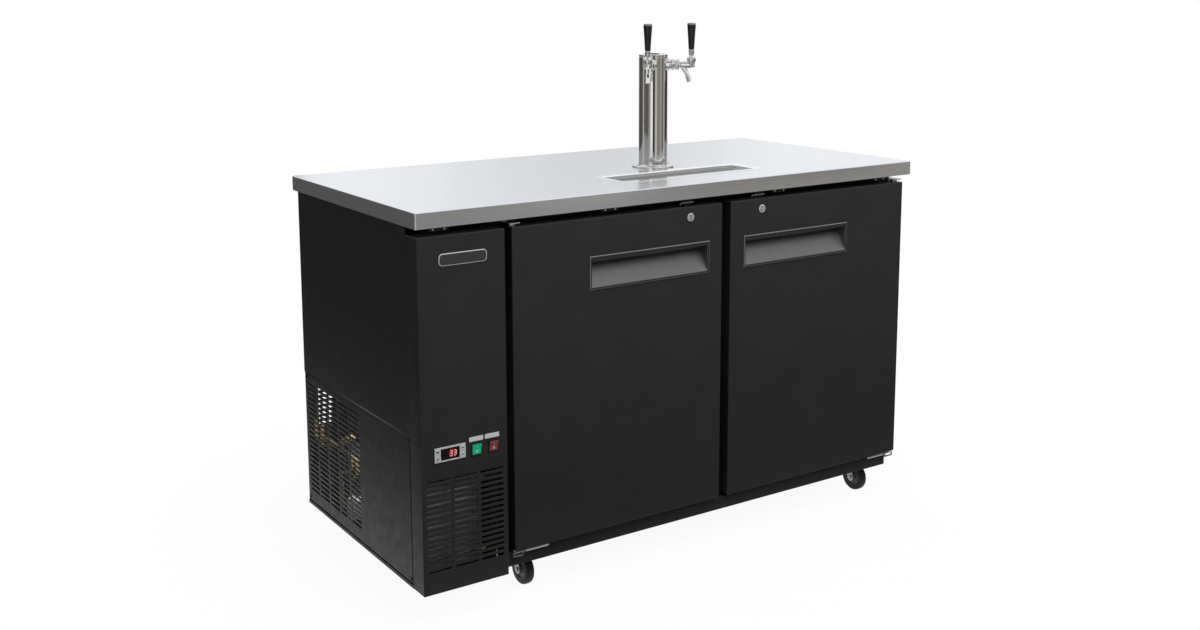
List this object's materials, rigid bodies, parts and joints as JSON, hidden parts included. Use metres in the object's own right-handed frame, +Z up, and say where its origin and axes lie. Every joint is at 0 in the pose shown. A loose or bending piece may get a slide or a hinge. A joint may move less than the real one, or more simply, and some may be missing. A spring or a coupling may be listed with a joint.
{
  "type": "direct draw beer dispenser",
  "caption": "Black under-counter keg cooler with hinged doors, side compressor compartment, stainless counter, drip tray and a tap tower with lever faucets, on swivel casters.",
  "frame": {"origin": "on the floor, under the middle of the counter", "axes": "+X to the right seen from the front, +Y to the back, +Z up"},
  "size_m": [1.47, 0.688, 1.2965],
  "materials": {
    "black_paint": "satin black powder coat",
    "foam": "cut foam",
    "liner": "stucco sheet",
    "counter_steel": "brushed stainless",
    "grate_steel": "brushed stainless",
    "rail_paint": "semi gloss black",
    "screw_steel": "plated",
    "zinc_steel": "zinc plated",
    "gasket_rubber": "soft vinyl",
    "handle_plastic": "moulded, fine grain",
    "lock_chrome": "nickel plated",
    "polished_steel": "polished stainless",
    "faucet_chrome": "polished chrome",
    "line_steel": "drawn tube",
    "tap_plastic": "moulded black",
    "controller_plastic": "moulded grey",
    "display": "dark lens",
    "key_plastic": "light grey key",
    "switch_plastic": "moulded black",
    "green_rocker": "lit translucent green",
    "red_rocker": "translucent red",
    "compressor_paint": "gloss black",
    "coil_metal": "dark finned coil",
    "fan_plastic": "moulded grey",
    "copper": "drawn copper",
    "wheel_rubber": "black tread"
  },
  "bodies": {
    "cabinet": {"cabinet_skin": "black_paint", "foam_insulation": "foam", "inner_liner": "liner", "countertop": "counter_steel", "base_frame": "rail_paint", "compartment_casing": "black_paint", "front_service_panel": "black_paint", "side_service_panel": "black_paint", "casing_screws": "screw_steel", "door_brackets": "zinc_steel", "tower_column": "polished_steel", "tower_cap": "polished_steel", "faucet_shanks": "faucet_chrome", "faucet_bodies": "faucet_chrome", "beer_lines": "line_steel", "drip_tray": "counter_steel", "controller_case": "controller_plastic", "display_window": "display", "switch_housings": "switch_plastic", "compressor": "compressor_paint", "condenser_coil": "coil_metal", "fan_shroud": "rail_paint", "refrigerant_tubes": "copper", "evaporator_cover": "liner", "caster_plates": "zinc_steel"},
    "left_door": {"left_door_skin": "black_paint", "left_door_core": "liner", "left_door_gasket": "gasket_rubber", "left_door_handle": "handle_plastic", "left_lock_barrel": "lock_chrome"},
    "left_lock": {"left_lock_plug": "lock_chrome"},
    "left_lever": {"left_faucet_lever": "faucet_chrome", "left_tap_handle": "tap_plastic"},
    "left_plunger": {"left_faucet_plunger": "grate_steel"},
    "right_door": {"right_door_skin": "black_paint", "right_door_core": "liner", "right_door_gasket": "gasket_rubber", "right_door_handle": "handle_plastic", "right_lock_barrel": "lock_chrome"},
    "right_lock": {"right_lock_plug": "lock_chrome"},
    "right_lever": {"right_faucet_lever": "faucet_chrome", "right_tap_handle": "tap_plastic"},
    "right_plunger": {"right_faucet_plunger": "grate_steel"},
    "grate": {"drip_grate": "grate_steel"},
    "set_key": {"set_key": "key_plastic"},
    "up_key": {"up_key": "key_plastic"},
    "defrost_key": {"defrost_key": "key_plastic"},
    "down_key": {"down_key": "key_plastic"},
    "power_rocker": {"power_rocker": "green_rocker"},
    "light_rocker": {"light_rocker": "red_rocker"},
    "condenser_fan": {"condenser_fan": "fan_plastic"},
    "evaporator_fan": {"evaporator_fan": "fan_plastic"},
    "front_left_caster": {"front_left_fork": "zinc_steel"},
    "front_left_wheel": {"front_left_wheel": "wheel_rubber"},
    "front_right_caster": {"front_right_fork": "zinc_steel"},
    "front_right_wheel": {"front_right_wheel": "wheel_rubber"},
    "rear_left_caster": {"rear_left_fork": "zinc_steel"},
    "rear_left_wheel": {"rear_left_wheel": "wheel_rubber"},
    "rear_right_caster": {"rear_right_fork": "zinc_steel"},
    "rear_right_wheel": {"rear_right_wheel": "wheel_rubber"}
  },
  "joints": [
    {"name": "left_door_hinge", "type": "hinge", "parent": "cabinet", "child": "left_door", "pos_m": [-0.487, -0.318, 0.5], "axis": [0, 0, -1], "range_deg": [0, 100]},
    {"name": "right_door_hinge", "type": "hinge", "parent": "cabinet", "child": "right_door", "pos_m": [0.699, -0.318, 0.5], "axis": [0, 0, 1], "range_deg": [0, 100]},
    {"name": "left_lock_turn", "type": "hinge", "parent": "left_door", "child": "left_lock", "pos_m": [-0.0055, -0.34, 0.8445], "axis": [0, 1, 0], "range_deg": [0, 90]},
    {"name": "right_lock_turn", "type": "hinge", "parent": "right_door", "child": "right_lock", "pos_m": [0.2175, -0.34, 0.8445], "axis": [0, -1, 0], "range_deg": [0, 90]},
    {"name": "left_lever_pull", "type": "hinge", "parent": "cabinet", "child": "left_lever", "pos_m": [0.0427, -0.1003, 1.204], "axis": [0.7071, -0.7071, 0], "range_deg": [0, 30]},
    {"name": "left_plunger_slide", "type": "slide", "parent": "cabinet", "child": "left_plunger", "axis": [-0.7071, -0.7071, 0], "range_m": [-0.0048, 0]},
    {"name": "right_lever_pull", "type": "hinge", "parent": "cabinet", "child": "right_lever", "pos_m": [0.1813, -0.1003, 1.204], "axis": [0.7071, 0.7071, 0], "range_deg": [0, 30]},
    {"name": "right_plunger_slide", "type": "slide", "parent": "cabinet", "child": "right_plunger", "axis": [0.7071, -0.7071, 0], "range_m": [-0.0048, 0]},
    {"name": "grate_lift", "type": "slide", "parent": "cabinet", "child": "grate", "axis": [0, 0, 1], "range_m": [0, 0.06]},
    {"name": "set_key_press", "type": "slide", "parent": "cabinet", "child": "set_key", "axis": [0, 1, 0], "range_m": [0, 0.0008], "stiffness_N_per_m": 400},
    {"name": "up_key_press", "type": "slide", "parent": "cabinet", "child": "up_key", "axis": [0, 1, 0], "range_m": [0, 0.0008], "stiffness_N_per_m": 400},
    {"name": "defrost_key_press", "type": "slide", "parent": "cabinet", "child": "defrost_key", "axis": [0, 1, 0], "range_m": [0, 0.0008], "stiffness_N_per_m": 400},
    {"name": "down_key_press", "type": "slide", "parent": "cabinet", "child": "down_key", "axis": [0, 1, 0], "range_m": [0, 0.0008], "stiffness_N_per_m": 400},
    {"name": "power_rocker_tilt", "type": "hinge", "parent": "cabinet", "child": "power_rocker", "pos_m": [-0.595, -0.338, 0.386], "axis": [-1, 0, 0], "range_deg": [0, 20]},
    {"name": "light_rocker_tilt", "type": "hinge", "parent": "cabinet", "child": "light_rocker", "pos_m": [-0.552, -0.338, 0.386], "axis": [-1, 0, 0], "range_deg": [0, 20]},
    {"name": "condenser_fan_spin", "type": "hinge", "parent": "cabinet", "child": "condenser_fan", "pos_m": [-0.63, -0.265, 0.215], "axis": [0, 1, 0], "continuous": true},
    {"name": "evaporator_fan_spin", "type": "hinge", "parent": "cabinet", "child": "evaporator_fan", "pos_m": [-0.4, 0.108, 0.669], "axis": [1, 0, 0], "continuous": true},
    {"name": "front_left_swivel", "type": "hinge", "parent": "cabinet", "child": "front_left_caster", "pos_m": [-0.432, -0.236, 0.09], "axis": [0, 0, 1], "continuous": true},
    {"name": "front_left_roll", "type": "hinge", "parent": "front_left_caster", "child": "front_left_wheel", "pos_m": [-0.432, -0.258, 0.0375], "axis": [1, 0, 0], "continuous": true},
    {"name": "front_right_swivel", "type": "hinge", "parent": "cabinet", "child": "front_right_caster", "pos_m": [0.646, -0.236, 0.09], "axis": [0, 0, 1], "continuous": true},
    {"name": "front_right_roll", "type": "hinge", "parent": "front_right_caster", "child": "front_right_wheel", "pos_m": [0.646, -0.258, 0.0375], "axis": [1, 0, 0], "continuous": true},
    {"name": "rear_left_swivel", "type": "hinge", "parent": "cabinet", "child": "rear_left_caster", "pos_m": [-0.432, 0.25, 0.09], "axis": [0, 0, 1], "continuous": true},
    {"name": "rear_left_roll", "type": "hinge", "parent": "rear_left_caster", "child": "rear_left_wheel", "pos_m": [-0.432, 0.228, 0.0375], "axis": [1, 0, 0], "continuous": true},
    {"name": "rear_right_swivel", "type": "hinge", "parent": "cabinet", "child": "rear_right_caster", "pos_m": [0.646, 0.25, 0.09], "axis": [0, 0, 1], "continuous": true},
    {"name": "rear_right_roll", "type": "hinge", "parent": "rear_right_caster", "child": "rear_right_wheel", "pos_m": [0.646, 0.228, 0.0375], "axis": [1, 0, 0], "continuous": true}
  ],
  "couplings": [
    {"joint": "left_plunger_slide", "follows": "left_lever_pull", "m_per_rad": -0.009},
    {"joint": "right_plunger_slide", "follows": "right_lever_pull", "m_per_rad": -0.009}
  ]
}
